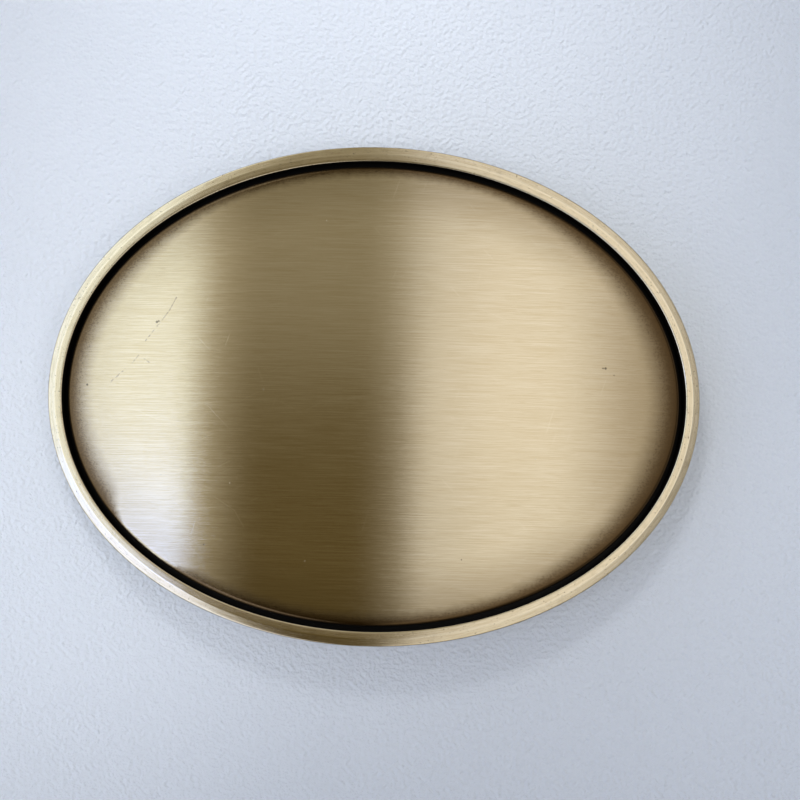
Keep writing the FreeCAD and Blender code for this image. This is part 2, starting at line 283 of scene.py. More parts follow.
def make_panel():
    """The pressed panel as one closed skin of rings: its hollow side, its wall, its shoulder and its dome."""
    angle = np.linspace(0, 2 * np.pi, AROUND, endpoint=False)
    floor = PLATE_THICKNESS
    sheet = PANEL_SHEET
    turn_in = 6.0
    hollow_corner = 0.3
    rings = []
    depths = []

    def ring(inset, height):
        u, v = oval(angle, PANEL_INSET + inset)
        rings.append(on_bow(u, v, height + 0 * u))
        depths.append(inset + 0 * u)

    def dome_ring(inset, depth=0.0):
        u, v = oval(angle, PANEL_INSET + inset)
        ring(inset, dome_height(u, v, depth))

    def shrinking_rings(inset, depth, scales):
        """Rings from that inset to the middle of the dome, each a smaller copy of the first."""
        u, v = oval(angle, PANEL_INSET + inset)
        for scale in scales:
            height = dome_height(u * scale, v * scale, depth)
            rings.append(on_bow(u * scale, v * scale, height))
            depths.append(inset + (1 - scale) * np.hypot(u, v))

    # The hollow side, from its middle out to the foot of the wall
    shrinking_rings(turn_in, sheet, np.linspace(0.04, 1, 14))
    dome_ring(sheet + hollow_corner, sheet)
    ring(sheet, dome_height(*oval(angle, PANEL_INSET + sheet), sheet) - hollow_corner)
    ring(sheet, floor)
    hollow_rings = len(rings)
    # Up the wall, round the shoulder and over the dome
    radius = PANEL_SHOULDER_ROUND
    at_wall = dome_height(*oval(angle, PANEL_INSET))
    at_round = dome_height(*oval(angle, PANEL_INSET + radius))
    slope = (at_round - at_wall) / radius
    centre = at_wall + slope * radius - radius * np.sqrt(1 + slope**2)
    for share in (0.0, 0.03, 0.5, 0.97):
        ring(0.0, floor + (centre - floor) * share)
    for share in np.linspace(0, 1, SHOULDER_RINGS):
        turn = np.pi - share * (np.pi / 2 - np.arctan(slope))
        ring(radius + radius * np.cos(turn), centre + radius * np.sin(turn))
    for inset in np.arange(radius + PANEL_RING_STEP, turn_in, PANEL_RING_STEP):
        dome_ring(inset)
    shrinking_rings(turn_in, 0.0, np.linspace(1, 0.02, 60))

    count = len(rings)
    points = np.stack(rings, axis=1).reshape(-1, 3)
    edge = np.stack(depths, axis=1).reshape(-1)
    hollow = np.broadcast_to(np.arange(count) < hollow_rings, (AROUND, count)).reshape(-1)
    edge = np.where(hollow, -1.0, edge)
    faces, corners = grid_faces(AROUND, count, True, False)
    flat = points.reshape(AROUND, count, 3)
    uvs = [flat[i % AROUND, j, 1::-1] / UV_SPAN + 0.5 for i, j in corners]
    # Close the middle of both sides with a fan of triangles
    for column, depth in ((0, sheet), (count - 1, 0.0)):
        middle = len(points)
        points = np.vstack([points, [0, 0, dome_z(0.0, 0.0, depth)]])
        edge = np.append(edge, -1.0 if depth else PANEL_INSET + HALF_HEIGHT)
        for i in range(AROUND):
            here, there = i * count + column, (i + 1) % AROUND * count + column
            face = [there, here, middle] if depth else [here, there, middle]
            faces.append(face)
            uvs += [points[corner, 1::-1] / UV_SPAN + 0.5 for corner in face]
    return make_object("brushed_panel", points, faces, uvs, {"edge": edge}, sharp=60)


def make_bail():
    """The wire loop: a rounded oblong of round wire, closed by a butt joint between the lugs."""
    side, bend = BAIL_HALF_WIDTH, BAIL_BEND
    near, far = bend, BAIL_REACH - bend
    route = [np.array([0.0, BUTT_GAP / 2])]
    headings = [90.0]

    def straight_to(end, heading, with_end=False):
        start = route[-1]
        count = math.ceil(np.linalg.norm(end - start) / WIRE_STEP)
        for k in range(1, count + with_end):
            route.append(start + (end - start) * k / count)
            headings.append(heading)

    def on_bend(x, y, degrees):
        angle = math.radians(degrees)
        return np.array([x + bend * math.cos(angle), y + bend * math.sin(angle)])

    middle = side - bend
    bends = ((near, middle, 180), (far, middle, 90), (far, -middle, 0), (near, -middle, -90))
    for x, y, start_angle in bends:
        straight_to(on_bend(x, y, start_angle), start_angle - 90.0)
        for k in range(WIRE_BEND_STEPS + 1):
            angle = start_angle - 90 * k / WIRE_BEND_STEPS
            route.append(on_bend(x, y, angle))
            headings.append(angle - 90.0)
    straight_to(np.array([0.0, -BUTT_GAP / 2]), 90.0, with_end=True)
    route = np.array(route)
    sideways = np.radians(np.array(headings) - 90)
    normals = np.stack([np.cos(sideways), np.sin(sideways), 0 * sideways], axis=1)
    along = np.concatenate([[0], np.cumsum(np.linalg.norm(np.diff(route, axis=0), axis=1))])
    droop = math.asin((HINGE.z - WIRE_RADIUS) / BAIL_REACH)
    tilt = Matrix.Rotation(droop, 3, "Y")
    # Each end is a small chamfer and a flat: two rings at the route's first and last point
    rows = [(0, WIRE_RADIUS - WIRE_CHAMFER, 0.0), (0, WIRE_RADIUS, WIRE_CHAMFER)]
    rows += [(k, WIRE_RADIUS, 0.0) for k in range(1, len(route) - 1)]
    rows += [(-1, WIRE_RADIUS, -WIRE_CHAMFER), (-1, WIRE_RADIUS - WIRE_CHAMFER, 0.0)]
    points = []
    run = []
    turns = []
    for k, radius, shift in rows:
        heading = np.array([-normals[k][1], normals[k][0], 0.0])
        centre = np.array([route[k][0], route[k][1], 0.0]) + heading * shift
        for j in range(WIRE_AROUND):
            turn = 2 * math.pi * j / WIRE_AROUND
            place = centre + radius * (math.cos(turn) * normals[k] + math.sin(turn) * np.array([0, 0, 1.0]))
            points.append(place)
            run.append(along[k] + shift)
            turns.append(turn)
    points = np.array(points) @ np.array(tilt.transposed()) + np.array([HINGE.x, 0, HINGE.z])
    faces, corners = grid_faces(len(rows), WIRE_AROUND, False, True)
    faces = [face[::-1] for face in faces]
    uvs = []
    for face_start in range(0, len(corners), 4):
        for i, j in reversed(corners[face_start : face_start + 4]):
            uvs.append((j / WIRE_AROUND, run[i * WIRE_AROUND] / UV_SPAN))
    last_row = (len(rows) - 1) * WIRE_AROUND
    for cap in (list(range(WIRE_AROUND)), [last_row + j for j in reversed(range(WIRE_AROUND))]):
        faces.append(cap)
        uvs += [(0.5 + math.cos(turns[j]) / UV_SPAN, 0.5 + math.sin(turns[j]) / UV_SPAN) for j in cap]
    attributes = {"along": run, "turn_x": np.cos(turns), "turn_y": np.sin(turns)}
    return make_object("formed_wire_bail", points, faces, uvs, attributes)


# --- node trees ---


class Graph:
    """Builds a node tree. A value is a number, a tuple or another node's output."""

    def __init__(self, tree):
        self.tree = tree
        tree.nodes.clear()

    def add(self, kind, inputs=(), output=0, **settings):
        node = self.tree.nodes.new(kind)
        for key, value in settings.items():
            setattr(node, key, value)
        for key, value in dict(inputs).items():
            socket = node.inputs[key]
            if isinstance(value, bpy.types.NodeSocket):
                self.tree.links.new(value, socket)
            elif isinstance(value, tuple) and socket.type == "RGBA":
                socket.default_value = (*value, 1.0)
            else:
                socket.default_value = value
        return node.outputs[output] if output is not None else node

    def calc(self, operation, *values):
        return self.add("ShaderNodeMath", enumerate(values), operation=operation)

    def vector(self, operation, *values, output=0):
        return self.add("ShaderNodeVectorMath", enumerate(values), output, operation=operation)

    def scaled(self, vector, x, y, z):
        return self.vector("MULTIPLY", vector, (x, y, z))

    def fade(self, value, start, end, low=0.0, high=1.0):
        """Goes smoothly from low to high as value goes from start to end."""
        inputs = {0: value, 1: start, 2: end, 3: low, 4: high}
        return self.add("ShaderNodeMapRange", inputs, interpolation_type="SMOOTHSTEP")

    def blend(self, factor, a, b):
        return self.add("ShaderNodeMix", {0: factor, 2: a, 3: b}, data_type="FLOAT")

    def colour(self, factor, a, b, kind="MIX"):
        inputs = {0: factor, 6: a, 7: b}
        return self.add("ShaderNodeMix", inputs, 2, data_type="RGBA", blend_type=kind)

    def noise(self, vector, scale=1.0, detail=2.0, roughness=0.5, distortion=0.0):
        inputs = {"Vector": vector, "Scale": scale, "Detail": detail}
        inputs.update({"Roughness": roughness, "Distortion": distortion})
        return self.add("ShaderNodeTexNoise", inputs)

    def cells(self, vector, scale=1.0):
        return self.add("ShaderNodeTexVoronoi", {"Vector": vector, "Scale": scale})

    def attribute(self, name):
        return self.add("ShaderNodeAttribute", output=2, attribute_name=name)

    def split(self, vector):
        node = self.add("ShaderNodeSeparateXYZ", {0: vector}, output=None)
        return node.outputs[0], node.outputs[1], node.outputs[2]

    def join(self, x, y, z):
        return self.add("ShaderNodeCombineXYZ", {0: x, 1: y, 2: z})

    def place(self):
        """The place on the object, in millimetres."""
        return self.scaled(self.add("ShaderNodeTexCoord", output=3), 1 / MM, 1 / MM, 1 / MM)

    def speck(self, place, x, y, radius):
        """1 inside a soft dot, 0 outside."""
        distance = self.vector("DISTANCE", self.scaled(place, 1, 1, 0), (x, y, 0.0), output=1)
        return self.fade(distance, radius, radius * 0.35)

    def scratch(self, place, start, end, width):
        """1 on a straight scratch seen from above, 0 away from it."""
        run = Vector((end[0] - start[0], end[1] - start[1], 0))
        offset = self.vector("SUBTRACT", self.scaled(place, 1, 1, 0), (*start, 0.0))
        share = self.vector("DOT_PRODUCT", offset, tuple(run / run.length_squared), output=1)
        share = self.add("ShaderNodeClamp", {0: share})
        nearest = self.vector("MULTIPLY", self.join(share, share, share), tuple(run))
        distance = self.vector("DISTANCE", offset, nearest, output=1)
        return self.fade(distance, width, width * 0.2)

    def any_of(self, masks):
        total = masks[0]
        for mask in masks[1:]:
            total = self.calc("MAXIMUM", total, mask)
        return total

    def bump(self, height, depth_mm):
        return self.add("ShaderNodeBump", {"Height": height, "Strength": 1.0, "Distance": depth_mm * MM})

    def surface(self, colour, metallic, roughness, normal, anisotropic=0.0):
        """The material's shader. An anisotropic one is brushed along the grain UV map."""
        inputs = {"Base Color": colour, "Metallic": metallic, "Roughness": roughness, "Normal": normal}
        if anisotropic:
            inputs["Anisotropic"] = anisotropic
            inputs["Tangent"] = self.add("ShaderNodeTangent", direction_type="UV_MAP", uv_map="grain")
        shader = self.add("ShaderNodeBsdfPrincipled", inputs)
        self.add("ShaderNodeOutputMaterial", {0: shader}, output=None)


def new_material(name):
    material = bpy.data.materials.new(name)
    material.use_nodes = True
    return material, Graph(material.node_tree)


# --- finishes ---

BRASS = (0.80, 0.675, 0.455)
BRASS_LIGHT = (0.86, 0.745, 0.53)
BRASS_DEEP = (0.66, 0.53, 0.315)
PATINA_BROWN = (0.15, 0.095, 0.042)
EDGE_BROWN = (0.075, 0.045, 0.020)
DARK_TINT = (0.21, 0.150, 0.085)
PAINTED_SHADE_TINT = (0.50, 0.462, 0.405)
PATINA_BLACK = (0.005, 0.0045, 0.004)
DUST = (0.55, 0.49, 0.38)
WALL_BRASS = (0.40, 0.28, 0.13)
AGED_DARK, AGED_LIGHT = (0.53, 0.37, 0.165), (0.74, 0.57, 0.31)
CAST_DARK, CAST_LIGHT = (0.42, 0.295, 0.135), (0.66, 0.515, 0.29)
WIRE_DARK, WIRE_LIGHT, WIRE_DULL = (0.50, 0.375, 0.19), (0.80, 0.665, 0.43), (0.33, 0.22, 0.095)
RIVET_DARK = (0.62, 0.475, 0.26)
EPOXY_DARK, EPOXY_LIGHT, EPOXY_BUBBLE = (0.34, 0.22, 0.09), (0.50, 0.36, 0.17), (0.72, 0.6, 0.38)
TABLE_DARK, TABLE_LIGHT = (0.290, 0.302, 0.322), (0.309, 0.320, 0.340)

# The panel's marks, in millimetres seen from above. A speck is x, y and radius, a scratch is where it starts,
# where it ends and how wide it is.
SPECKS = (
    (-30.0, 9.5, 0.24),
    (-29.75, 9.62, 0.17),
    (-39.5, 0.8, 0.2),
    (31.7, 4.5, 0.24),
    (31.35, 4.5, 0.16),
    (32.9, 3.6, 0.12),
    (27.8, 23.6, 0.3),
    (-22.6, -20.9, 0.13),
    (12.4, -22.2, 0.12),
)
DARK_SCRATCHES = (
    ((-27.4, 12.9), (-28.3, 11.1), 0.13),
    ((-28.3, 11.1), (-31.5, 6.9), 0.13),
    ((-32.4, 4.9), (-33.3, 3.8), 0.11),
    ((-34.2, 3.0), (-36.2, 1.2), 0.15),
    ((-30.9, 3.9), (-31.6, 4.4), 0.12),
)
BRIGHT_SCRATCHES = (
    ((-32.6, -2.6), (-29.6, -3.9), 0.09),
    ((-29.6, -3.9), (-26.4, -4.2), 0.09),
    ((-21.4, -14.4), (-18.6, -16.2), 0.08),
    ((-18.6, -16.2), (-17.3, -18.4), 0.08),
    ((-12.6, -1.2), (-9.9, -2.6), 0.08),
    ((-3.2, -9.7), (0.9, -10.5), 0.07),
    ((-15.9, 3.4), (-15.2, 1.4), 0.07),
    ((14.5, 12.0), (17.9, 10.6), 0.06),
)
# Fine handling scratches lie three ways: each way is a turn in radians and where its noise is read.
HANDLING_WAYS = ((0.5, 3.1), (-0.8, 9.7), (1.25, 5.3))
# Where the dark edge is rubbed bare: x, y and radius
BARE_SPOT = (-30.5, -20.5, 9.5)


def brushed_brass():
    """Brass brushed along X, then darkened and rubbed back, so that the dark stays round its edge."""
    material, g = new_material("brushed_brass")
    place = g.place()
    x, y, _ = g.split(place)
    edge = g.attribute("edge")
    fine = g.noise(g.scaled(place, 0.11, 9.5, 0), detail=3, roughness=0.75)
    lines = g.noise(g.scaled(place, 0.13, 11.0, 3.0), detail=1)
    hair = g.noise(g.scaled(place, 0.24, 22.0, 0), detail=2, roughness=0.65)
    broad = g.noise(g.scaled(place, 0.04, 1.7, 0), detail=4, roughness=0.65)
    cloud = g.noise(g.scaled(place, 0.07, 0.09, 0), detail=3)
    streak = g.calc("ADD", g.calc("MULTIPLY", fine, 0.65), g.calc("MULTIPLY", hair, 0.35))

    # The dark is wider at the two ends, most at the right, and thins out as fine grit.
    right = g.fade(x, 0.3 * HALF_WIDTH, 0.93 * HALF_WIDTH)
    left = g.fade(x, -0.45 * HALF_WIDTH, -0.85 * HALF_WIDTH)
    front = g.fade(y, -0.45 * HALF_HEIGHT, -0.9 * HALF_HEIGHT)
    reach = g.calc("MULTIPLY_ADD", right, 2.6, 1.35)
    reach = g.calc("MULTIPLY_ADD", left, 1.5, reach)
    reach = g.calc("MULTIPLY_ADD", front, 0.35, reach)
    reach = g.calc("MULTIPLY", reach, g.calc("MULTIPLY_ADD", g.speck(place, *BARE_SPOT), -0.85, 1.0))
    ragged = g.noise(g.scaled(place, 0.8, 1.3, 0.8), detail=3, roughness=0.6)
    grit = g.noise(g.scaled(place, 4.0, 7.0, 4.0), detail=3, roughness=0.75)
    depth = g.calc("DIVIDE", edge, g.calc("MULTIPLY_ADD", ragged, 0.8, g.calc("SUBTRACT", reach, 0.4)))
    dark = g.fade(depth, 1.45, 0.02)
    grit_level = g.calc("MULTIPLY_ADD", dark, -0.34, 0.735)
    speckle = g.fade(grit, grit_level, g.calc("ADD", grit_level, 0.09))
    solid = g.fade(edge, g.calc("MULTIPLY_ADD", right, 0.2, 0.06), 0.01)
    # Painted shade: the right end of the panel, and the edges of its right half, are darkened with a brownish
    # grey tint.
    rounding_shade = g.calc("MULTIPLY", g.fade(edge, 9.0, 0.5), g.fade(x, 0.0, 14.0, 0.42, 0.75))
    painted_shade = g.calc("MAXIMUM", rounding_shade, g.fade(x, 23.0, 39.0))
    black = g.calc("MAXIMUM", solid, g.fade(depth, 0.1, 0.02))

    specks = g.any_of([g.speck(place, *speck) for speck in SPECKS])
    grime = g.any_of([g.scratch(place, *scratch) for scratch in DARK_SCRATCHES])
    grime = g.calc("MULTIPLY", grime, g.fade(g.noise(g.scaled(place, 2.2, 2.2, 0), detail=2), 0.38, 0.62))
    bright = g.any_of([g.scratch(place, *scratch) for scratch in BRIGHT_SCRATCHES])
    crossing = []
    for turn, seed in HANDLING_WAYS:
        c, s = math.cos(turn), math.sin(turn)
        along = g.vector("DOT_PRODUCT", place, (c * 0.16, s * 0.16, 0.0), output=1)
        across = g.vector("DOT_PRODUCT", place, (-s * 3.2, c * 3.2, 0.0), output=1)
        crossing.append(g.fade(g.noise(g.join(along, across, seed), detail=1), 0.735, 0.80))
    handling = g.any_of(crossing)
    dust = g.fade(g.cells(place, 0.27), 0.03, 0.015)

    colour = g.colour(g.fade(streak, 0.33, 0.67), BRASS_DEEP, BRASS_LIGHT)
    colour = g.colour(0.1, colour, BRASS)
    colour = g.colour(g.fade(lines, 0.58, 0.72, 0.0, 0.6), colour, BRASS_DEEP)
    colour = g.colour(g.fade(broad, 0.35, 0.65, 0.0, 0.24), colour, BRASS_DEEP)
    colour = g.colour(g.fade(cloud, 0.4, 0.7, 0.0, 0.12), colour, BRASS_DEEP)
    colour = g.colour(g.calc("MULTIPLY", g.calc("MAXIMUM", bright, handling), 0.35), colour, BRASS_LIGHT)
    # Painted shade darkens the right end and the edges of the right half.
    colour = g.colour(painted_shade, colour, PAINTED_SHADE_TINT, "MULTIPLY")
    colour = g.colour(dark, colour, DARK_TINT, "MULTIPLY")
    colour = g.colour(g.calc("MULTIPLY", speckle, 0.62), colour, EDGE_BROWN)
    colour = g.colour(g.calc("MULTIPLY", grime, 0.42), colour, PATINA_BROWN)
    colour = g.colour(g.calc("MAXIMUM", black, g.calc("MULTIPLY", specks, 0.7)), colour, PATINA_BLACK)
    colour = g.colour(g.calc("MULTIPLY", dust, 0.5), colour, DUST)
    metallic = g.calc("SUBTRACT", g.blend(black, 1.0, 0.55), g.calc("MULTIPLY", dust, 0.25))
    roughness = g.fade(streak, 0.3, 0.7, 0.10, 0.125)
    roughness = g.calc("ADD", roughness, g.calc("MULTIPLY", g.calc("MAXIMUM", dark, grime), 0.1))
    grooves = g.calc("ADD", g.calc("MULTIPLY", fine, 0.9), g.calc("MULTIPLY", hair, 0.35))
    grooves = g.calc("SUBTRACT", grooves, g.calc("MULTIPLY", g.calc("MAXIMUM", bright, handling), 0.25))
    grooves = g.calc("SUBTRACT", grooves, g.calc("MULTIPLY", specks, 0.8))
    g.surface(colour, metallic, roughness, g.bump(grooves, 0.0032), anisotropic=1.0)
    return material


def satin_brass():
    """The rim: rubbed along its length, bare on the ridge, dark on its walls and in its nicks."""
    material, g = new_material("satin_brass")
    place = g.place()
    inset = g.attribute("inset")
    height = g.attribute("height")
    x, y, _ = g.split(place)
    from_edge = g.join(x, y, inset)
    fine = g.noise(g.scaled(from_edge, 0.42, 0.42, 8.0), detail=3, roughness=0.65)
    broad = g.noise(g.scaled(from_edge, 0.16, 0.16, 2.4), detail=2)
    blotch = g.noise(g.scaled(place, 0.5, 0.5, 0.5), detail=4, roughness=0.65)
    pits = g.noise(g.scaled(place, 3.6, 3.6, 3.6), detail=2, roughness=0.6)
    nicks = g.fade(g.noise(g.scaled(from_edge, 1.6, 1.6, 4.0), detail=2), 0.70, 0.76)
    pitted = g.fade(pits, 0.64, 0.74)
    worn_away = g.calc("MAXIMUM", nicks, pitted)

    ridge = g.calc("ABSOLUTE", g.calc("SUBTRACT", inset, RIDGE_INSET))
    crest = g.fade(ridge, 0.22, 0.03)
    low_down = g.fade(height, OUTER_SHOULDER_HEIGHT - 0.12, OUTER_SHOULDER_HEIGHT - 0.75)
    well_down = g.fade(height, OUTER_SHOULDER_HEIGHT - 0.3, OUTER_SHOULDER_HEIGHT - 1.1)
    inner_wall = g.calc("MULTIPLY", well_down, g.fade(inset, BEZEL_WIDTH - 0.3, BEZEL_WIDTH - 0.05))
    outer_wall = g.calc("MULTIPLY", low_down, g.fade(inset, 0.3, 0.05))
    inner_brink = g.fade(inset, BEZEL_WIDTH - 0.07, BEZEL_WIDTH - 0.01)
    # The outermost edge of the rim is darkened to a thin brown line.
    outer_brink = g.fade(inset, 0.14, 0.02)

    colour = g.colour(g.fade(fine, 0.3, 0.7), BRASS_DEEP, BRASS_LIGHT)
    colour = g.colour(0.5, colour, BRASS)
    colour = g.colour(g.fade(broad, 0.4, 0.75, 0.0, 0.25), colour, BRASS_DEEP)
    colour = g.colour(g.fade(blotch, 0.5, 0.8, 0.0, 0.16), colour, PATINA_BROWN)
    colour = g.colour(g.calc("MULTIPLY", crest, 0.55), colour, BRASS_LIGHT)
    colour = g.colour(g.calc("MULTIPLY", worn_away, 0.6), colour, PATINA_BROWN)
    colour = g.colour(g.calc("MULTIPLY", outer_brink, 0.75), colour, PATINA_BROWN)
    wall_brass = g.colour(g.fade(blotch, 0.3, 0.7), PATINA_BROWN, WALL_BRASS)
    colour = g.colour(outer_wall, colour, wall_brass)
    colour = g.colour(g.calc("MULTIPLY", inner_brink, 0.85), colour, EDGE_BROWN)
    colour = g.colour(inner_wall, colour, PATINA_BLACK)
    metallic = g.blend(inner_wall, 1.0, 0.9)
    roughness = g.fade(fine, 0.3, 0.7, 0.16, 0.2)
    roughness = g.calc("SUBTRACT", roughness, g.calc("MULTIPLY", crest, 0.05))
    roughness = g.calc("ADD", roughness, g.calc("MULTIPLY", outer_wall, 0.15))
    relief = g.calc("ADD", g.calc("MULTIPLY", fine, 0.9), g.calc("MULTIPLY", broad, 0.5))
    relief = g.calc("SUBTRACT", relief, g.calc("MULTIPLY", worn_away, 0.8))
    g.surface(colour, metallic, roughness, g.bump(relief, 0.0032), anisotropic=0.9)
    return material


def aged_brass():
    """The plate: tumbled and aged brass behind, blackened in front, where it shows in the groove."""
    material, g = new_material("aged_brass")
    place = g.place()
    facing = g.split(g.add("ShaderNodeNewGeometry", output=1))[2]
    front = g.fade(facing, 0.2, 0.6)
    blotch = g.noise(g.scaled(place, 0.16, 0.16, 0.16), detail=5, roughness=0.62)
    mottle = g.noise(g.scaled(place, 0.9, 0.9, 0.9), detail=4, roughness=0.7)
    grain = g.noise(g.scaled(place, 5.0, 5.0, 5.0), detail=3, roughness=0.6)
    roll = g.noise(g.scaled(place, 0.25, 6.0, 0.25), detail=2)
    scuffs = g.fade(g.noise(g.scaled(place, 0.35, 4.5, 0.5), detail=1, distortion=0.4), 0.68, 0.76)
    spots = g.fade(g.cells(place, 0.32), 0.20, 0.06)
    colour = g.colour(g.fade(blotch, 0.35, 0.65), AGED_DARK, AGED_LIGHT)
    colour = g.colour(g.fade(mottle, 0.45, 0.75, 0.0, 0.38), colour, PATINA_BROWN)
    colour = g.colour(g.fade(roll, 0.4, 0.7, 0.0, 0.18), colour, BRASS)
    colour = g.colour(g.calc("MULTIPLY", scuffs, 0.4), colour, BRASS_LIGHT)
    colour = g.colour(g.calc("MULTIPLY", spots, 0.35), colour, PATINA_BROWN)
    colour = g.colour(front, colour, PATINA_BLACK)
    metallic = g.blend(front, 1.0, 0.9)
    roughness = g.fade(mottle, 0.3, 0.8, 0.2, 0.42)
    roughness = g.blend(front, roughness, 0.35)
    relief = g.calc("ADD", grain, g.calc("MULTIPLY", roll, 0.7))
    relief = g.calc("SUBTRACT", relief, g.calc("MULTIPLY", scuffs, 0.6))
    g.surface(colour, metallic, roughness, g.bump(relief, 0.012))
    return material


def cast_brass():
    """The lugs and the hook: fine sand-cast skin, dark in the hollows and bright where belts rub it."""
    material, g = new_material("cast_brass")
    place = g.place()
    _, _, z = g.split(place)
    skin = g.noise(g.scaled(place, 2.6, 2.6, 2.6), detail=4, roughness=0.65)
    pits = g.fade(g.cells(place, 1.3), 0.22, 0.05)
    blotch = g.noise(g.scaled(place, 0.35, 0.35, 0.35), detail=4, roughness=0.6)
    rubbed = g.fade(z, 0.42 * PLATE_LOW.z + 2.2, 0.6)
    rubbed = g.calc("MULTIPLY", rubbed, g.fade(blotch, 0.3, 0.6, 0.6, 1.0))
    colour = g.colour(g.fade(blotch, 0.35, 0.65), CAST_DARK, CAST_LIGHT)
    colour = g.colour(g.fade(skin, 0.42, 0.72, 0.0, 0.5), colour, PATINA_BROWN)
    colour = g.colour(g.calc("MULTIPLY", pits, 0.5), colour, PATINA_BROWN)
    colour = g.colour(g.calc("MULTIPLY", rubbed, 0.75), colour, BRASS)
    roughness = g.fade(skin, 0.3, 0.7, 0.34, 0.5)
    roughness = g.calc("SUBTRACT", roughness, g.calc("MULTIPLY", rubbed, 0.17))
    relief = g.calc("SUBTRACT", skin, g.calc("MULTIPLY", pits, 0.5))
    g.surface(colour, 1.0, roughness, g.bump(relief, 0.03))
    return material


def drawn_wire():
    """The bail: die lines along the wire, dulled by handling, with a few dark dents."""
    material, g = new_material("bail_wire")
    place = g.place()
    on_wire = g.join(g.attribute("turn_x"), g.attribute("turn_y"), g.attribute("along"))
    die = g.noise(g.scaled(on_wire, 9.0, 9.0, 0.07), detail=3, roughness=0.65)
    rub = g.noise(g.scaled(place, 0.3, 0.3, 0.3), detail=4, roughness=0.6)
    dents = g.fade(g.cells(place, 0.45), 0.16, 0.04)
    colour = g.colour(g.fade(die, 0.3, 0.7), WIRE_DARK, WIRE_LIGHT)
    colour = g.colour(g.fade(rub, 0.42, 0.72, 0.0, 0.55), colour, WIRE_DULL)
    colour = g.colour(g.calc("MULTIPLY", dents, 0.4), colour, PATINA_BROWN)
    roughness = g.fade(rub, 0.3, 0.75, 0.2, 0.36)
    relief = g.calc("SUBTRACT", g.calc("MULTIPLY", die, 0.6), g.calc("MULTIPLY", dents, 0.8))
    g.surface(colour, 1.0, roughness, g.bump(relief, 0.012), anisotropic=0.5)
    return material


def rivet_brass():
    """Hammered rivet heads: facets from the set, polished on top, dark round the foot."""
    material, g = new_material("rivet_brass")
    place = g.place()
    facets = g.cells(place, 1.1)
    skin = g.noise(g.scaled(place, 3.5, 3.5, 3.5), detail=3)
    facing = g.split(g.add("ShaderNodeNewGeometry", output=1))[2]
    top = g.fade(facing, -0.55, -0.95)
    colour = g.colour(g.fade(skin, 0.35, 0.7), RIVET_DARK, BRASS_LIGHT)
    colour = g.colour(g.calc("MULTIPLY", g.calc("SUBTRACT", 1.0, top), 0.7), colour, PATINA_BROWN)
    roughness = g.fade(skin, 0.3, 0.7, 0.2, 0.34)
    relief = g.calc("ADD", facets, g.calc("MULTIPLY", skin, 0.3))
    g.surface(colour, 1.0, roughness, g.bump(relief, 0.05))
    return material


def adhesive():
    """The bead of set adhesive inside the panel: amber, with small bubbles."""
    material, g = new_material("adhesive")
    place = g.place()
    flow = g.noise(g.scaled(place, 0.6, 0.6, 0.6), detail=3)
    bubbles = g.fade(g.cells(place, 2.2), 0.25, 0.1)
    colour = g.colour(g.fade(flow, 0.35, 0.65), EPOXY_DARK, EPOXY_LIGHT)
    colour = g.colour(g.calc("MULTIPLY", bubbles, 0.4), colour, EPOXY_BUBBLE)
    roughness = g.fade(flow, 0.3, 0.7, 0.3, 0.45)
    g.surface(colour, 0.0, roughness, g.bump(g.calc("SUBTRACT", flow, bubbles), 0.05))
    return material


def pebbled_table():
    """The surface that the buckle lies on: pale laminate with a fine pebbled skin."""
    material, g = new_material("pebbled_table")
    place = g.place()
    pebble = g.noise(place, scale=1.65, detail=1, roughness=0.4)
    fine = g.noise(place, scale=3.0, detail=1)
    cloud = g.noise(place, scale=0.012, detail=2)
    colour = g.colour(g.fade(cloud, 0.3, 0.7), TABLE_DARK, TABLE_LIGHT)
    relief = g.calc("ADD", pebble, g.calc("MULTIPLY", fine, 0.25))
    roughness = g.fade(pebble, 0.3, 0.7, 0.5, 0.6)
    g.surface(colour, 0.0, roughness, g.bump(relief, 0.30))
    return material


# --- pieces ---


def cover(piece, body, slot, material, *nodes):
    piece.data.materials.append(material)
    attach(piece, body)
    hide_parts(*nodes)


def refinish(node, material):
    piece = frame["nodes"][node]
    for slot in piece.material_slots:
        slot.material = material
    if not piece.material_slots:
        piece.data.materials.append(material)


cover(make_rim(), "buckle", "satin_brass", satin_brass(), "rim_bezel")
cover(make_panel(), "buckle", "brushed_brass", brushed_brass(), "face_panel")
cover(make_bail(), "bail", "bail_wire", drawn_wire(), "swing_bail")
refinish("back_plate", aged_brass())
CAST = cast_brass()
for node in ("upper_lug", "lower_lug", "belt_hook"):
    refinish(node, CAST)
RIVET = rivet_brass()
for node in sorted(frame["nodes"]):
    if node.endswith("_rivet"):
        refinish(node, RIVET)
refinish("adhesive_bead", adhesive())


# --- studio ---

TABLE_HALF = 1.5
table_mesh = bpy.data.meshes.new("table")
table_corners = [(TABLE_HALF * x, TABLE_HALF * y, 0.0) for x, y in ((-1, -1), (1, -1), (1, 1), (-1, 1))]
table_mesh.from_pydata(table_corners, [], [(0, 1, 2, 3)])
table_mesh.materials.append(pebbled_table())
table_top = bpy.data.objects.new("table", table_mesh)
bpy.context.scene.collection.objects.link(table_top)


# What the ceiling shines with. The gap gets lighter from front to back, the left box cooler to the side.
GAP_FRONT, GAP_BACK, GAP_NEAREST = (0.117, 0.09, 0.037), (0.33, 0.31, 0.25), (0.05, 0.038, 0.015)
LEFT_STRIP = (0.72, 0.71, 0.65)
LEFT_BOX, LEFT_BOX_SIDE = (1.13, 1.25, 1.37), (1.19, 1.40, 1.8)
WINDOW, WINDOW_NEAREST = (1.35, 1.85, 3.9), (1.25, 1.42, 2.0)
RIGHT_SPILL = (0.9, 0.9, 0.9)
RIGHT_BOX = (1.04, 1.045, 1.085)
ROOM = (0.74, 0.77, 0.80)
UNDER_LEFT, UNDER_RIGHT = (1.0, 1.03, 1.08), (0.24, 0.23, 0.22)


